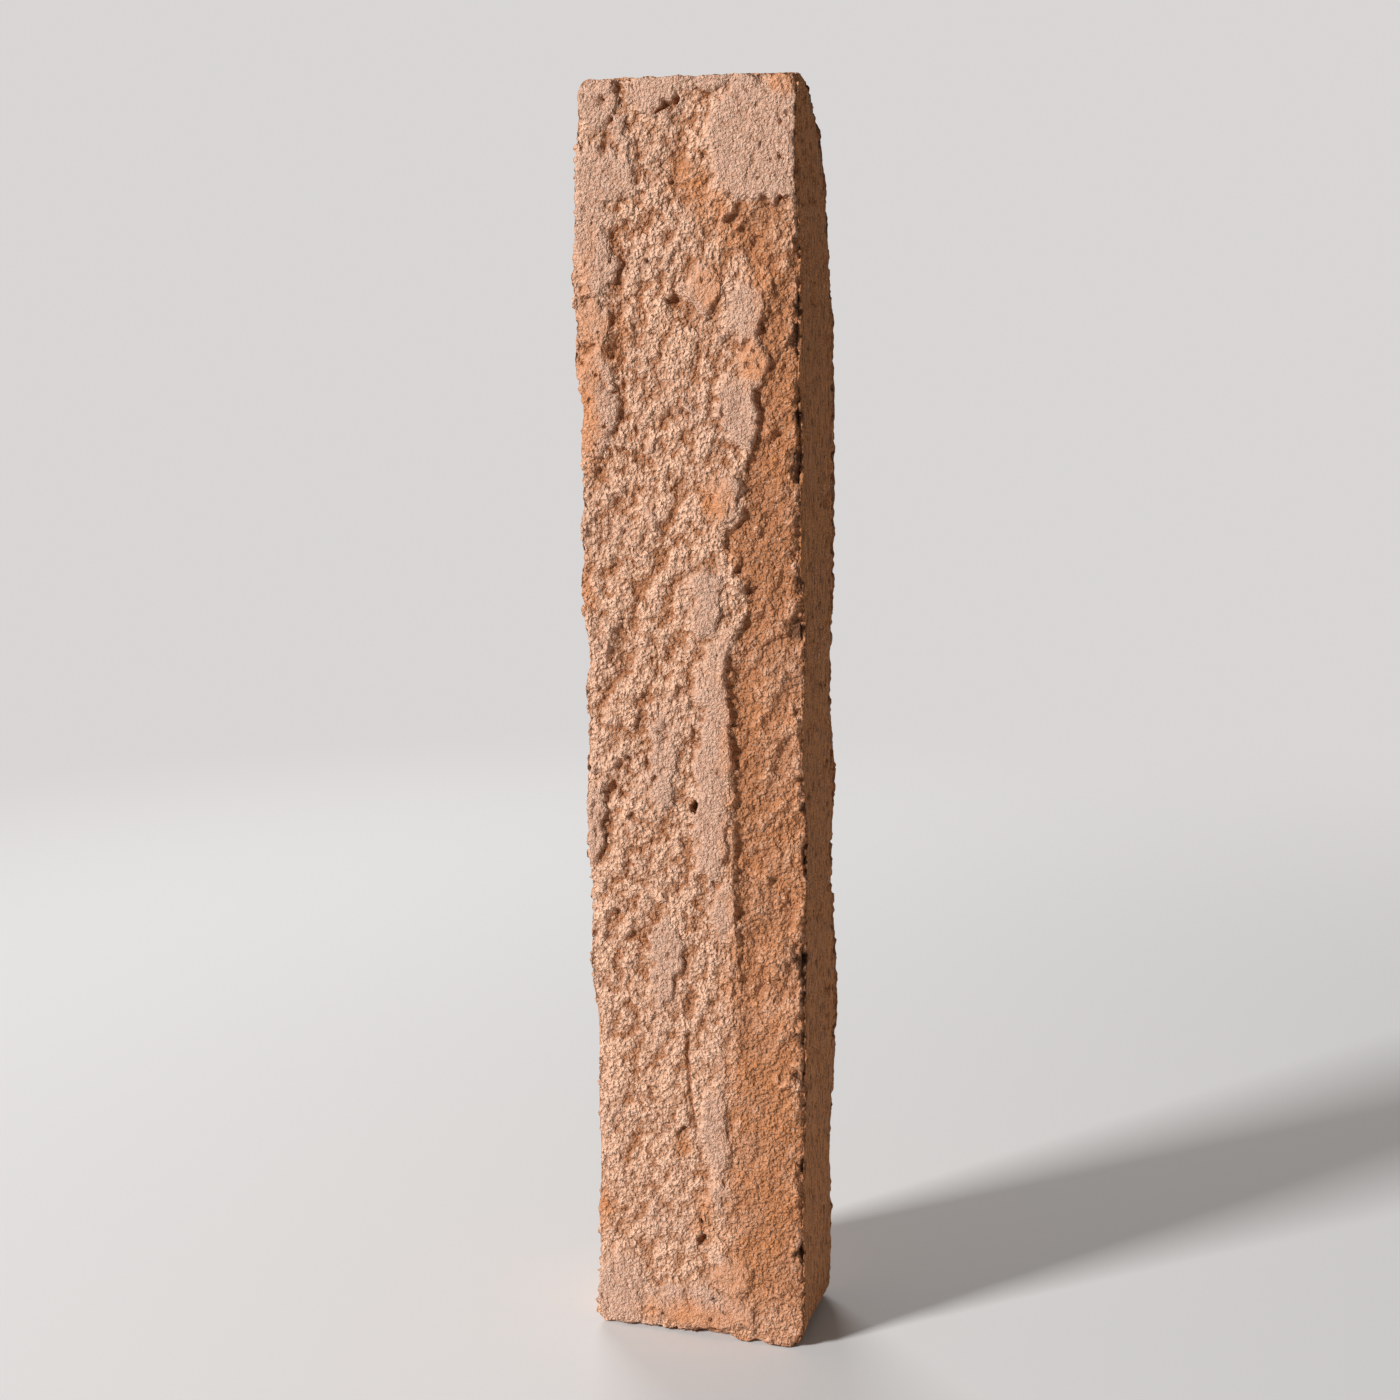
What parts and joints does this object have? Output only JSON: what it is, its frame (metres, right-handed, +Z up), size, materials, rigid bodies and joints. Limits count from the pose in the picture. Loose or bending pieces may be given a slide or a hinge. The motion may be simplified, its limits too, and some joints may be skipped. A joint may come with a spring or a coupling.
{
  "type": "terracotta tile",
  "caption": "Long solid terracotta tile with one hewn face, wavy chipped edges and a worn top corner, standing on its end.",
  "frame": {"origin": "middle of the foot: the centre of the bounding box in X and Y, on the floor in Z", "axes": "+Z up the length, +X across the width, -Y out of the hewn face, +Y out of the back"},
  "size_m": [0.0924, 0.054, 0.49],
  "materials": {
    "terracotta": "unglazed fired clay, matte"
  },
  "bodies": {
    "root": {"terracotta_tile": "terracotta"}
  },
  "joints": []
}
